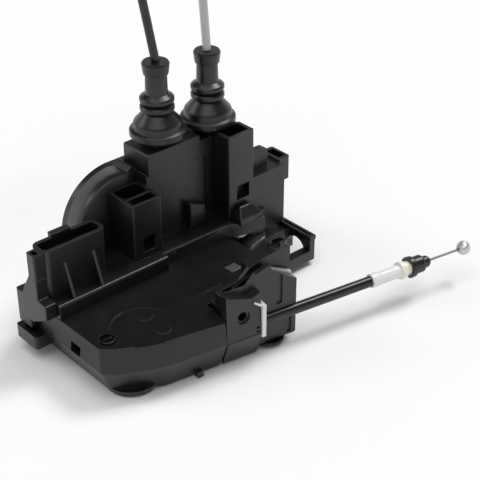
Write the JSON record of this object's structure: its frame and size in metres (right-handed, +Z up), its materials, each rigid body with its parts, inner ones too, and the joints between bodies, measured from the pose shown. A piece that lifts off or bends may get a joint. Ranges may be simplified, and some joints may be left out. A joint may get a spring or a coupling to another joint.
{
  "type": "door latch actuator",
  "caption": "Car door latch with fork bolt, pawl, lock drive, plug socket, two booted control cables, and an outside handle cable on a lever block.",
  "frame": {"origin": "middle of the footprint of latch and outside cable, on the faceplate's outer face (z = 0); the two free cables are not counted", "axes": "+X along the case towards the striker mouth, +Y towards the rear cover, +Z up from the faceplate, along the booted cables' exits"},
  "size_m": [0.2155, 0.2392, 0.2403],
  "materials": {
    "black_plastic": "satin moulded",
    "cover_plastic": "satin moulded",
    "boot_rubber": "soft satin",
    "zinc_steel": "zinc plated",
    "dark_steel": "hardened",
    "spring_steel": "oiled",
    "white_plastic": "satin",
    "natural_plastic": "satin",
    "wire_steel": "stranded",
    "tin_contacts": "tin plated",
    "black_sheath": "extruded",
    "grey_sheath": "extruded",
    "brass_worm": "machined"
  },
  "bodies": {
    "latch_case": {"faceplate": "zinc_steel", "latch_housing": "black_plastic", "claw_rivet": "zinc_steel", "pawl_rivet": "zinc_steel", "back_plate": "zinc_steel", "latch_cover": "cover_plastic", "cover_insert": "zinc_steel", "actuator_housing": "black_plastic", "actuator_rear_cover": "cover_plastic", "connector_receptacle": "black_plastic", "connector_terminals": "tin_contacts", "cable_box": "black_plastic", "inside_cable_boot": "boot_rubber", "lock_cable_boot": "boot_rubber", "inside_lever_pin": "dark_steel", "lock_lever_pin": "dark_steel", "wheel_axle": "dark_steel", "lock_motor": "zinc_steel", "cover_screw": "zinc_steel", "rear_cover_screws": "zinc_steel", "outside_lever_block": "black_plastic", "cable_anchor_plate": "white_plastic", "outside_lever_pin": "dark_steel", "block_rivet": "zinc_steel", "outside_cable_sheath": "black_sheath", "outside_cable_ferrule": "white_plastic", "outside_cable_cap": "boot_rubber", "claw_spring": "spring_steel", "pawl_spring": "spring_steel", "inside_cable": "black_sheath", "inside_cable_end_ferrule": "black_sheath", "inside_cable_end_wire": "wire_steel", "lock_cable": "grey_sheath", "lock_cable_end_ferrule": "white_plastic", "lock_cable_end_wire": "wire_steel"},
    "fork_bolt": {"fork_bolt": "dark_steel"},
    "pawl": {"pawl": "dark_steel"},
    "inside_wire": {"inside_cable_wire": "wire_steel"},
    "inside_lever": {"inside_release_lever": "zinc_steel"},
    "lock_wheel": {"worm_wheel": "natural_plastic"},
    "lock_arm": {"lock_lever": "natural_plastic"},
    "lock_wire": {"lock_cable_wire": "wire_steel"},
    "worm_drive": {"worm": "brass_worm", "motor_shaft": "dark_steel"},
    "outside_wire": {"outside_pull_wire": "wire_steel"},
    "outside_lever": {"outside_release_lever": "zinc_steel"}
  },
  "joints": [
    {"name": "fork_bolt_turn", "type": "hinge", "parent": "latch_case", "child": "fork_bolt", "pos_m": [0.0236, 0.02424, 0.005], "axis": [0, 0, 1], "range_deg": [-50, 0], "stiffness_Nm_per_rad": 0.05, "springref_deg": 34.38},
    {"name": "pawl_turn", "type": "hinge", "parent": "latch_case", "child": "pawl", "pos_m": [0.0046, -0.00376, 0.005], "axis": [0, 0, 1], "range_deg": [0, 12], "stiffness_Nm_per_rad": 0.03, "springref_deg": -28.65},
    {"name": "inside_wire_pull", "type": "slide", "parent": "latch_case", "child": "inside_wire", "axis": [0, 0, 1], "range_m": [0, 0.00965], "stiffness_N_per_m": 200, "springref_m": -0.01},
    {"name": "inside_lever_turn", "type": "hinge", "parent": "latch_case", "child": "inside_lever", "pos_m": [0.0036, 0.03324, 0.05], "axis": [0, 1, 0], "range_deg": [0, 30.01]},
    {"name": "lock_wheel_turn", "type": "hinge", "parent": "latch_case", "child": "lock_wheel", "pos_m": [-0.0344, 0.05185, 0.038], "axis": [0, -1, 0], "range_deg": [0, 50]},
    {"name": "lock_lever_turn", "type": "hinge", "parent": "latch_case", "child": "lock_arm", "pos_m": [-0.0044, 0.03825, 0.038], "axis": [0, -1, 0], "range_deg": [-29.71, 0]},
    {"name": "lock_wire_pull", "type": "slide", "parent": "latch_case", "child": "lock_wire", "axis": [0, 0, 1], "range_m": [-0.01061, 0]},
    {"name": "worm_spin", "type": "hinge", "parent": "latch_case", "child": "worm_drive", "pos_m": [-0.0344, 0.05185, 0.0169], "axis": [1, 0, 0], "range_deg": [-1600.5, 0]},
    {"name": "outside_wire_pull", "type": "slide", "parent": "latch_case", "child": "outside_wire", "axis": [0.9836, -0.1805, 0], "range_m": [0, 0.008], "stiffness_N_per_m": 200, "springref_m": -0.01},
    {"name": "outside_lever_turn", "type": "hinge", "parent": "latch_case", "child": "outside_lever", "pos_m": [-0.02732, -0.03506, 0.032], "axis": [-0.1805, -0.9836, 0], "range_deg": [0, 28.41]}
  ],
  "couplings": [
    {"joint": "inside_lever_turn", "follows": "inside_wire_pull", "rad_per_m": 54.281},
    {"joint": "lock_lever_turn", "follows": "lock_wheel_turn", "ratio": -0.59408},
    {"joint": "lock_wire_pull", "follows": "lock_wheel_turn", "m_per_rad": -0.012155},
    {"joint": "worm_spin", "follows": "lock_wheel_turn", "ratio": -32},
    {"joint": "outside_lever_turn", "follows": "outside_wire_pull", "rad_per_m": 61.982}
  ]
}
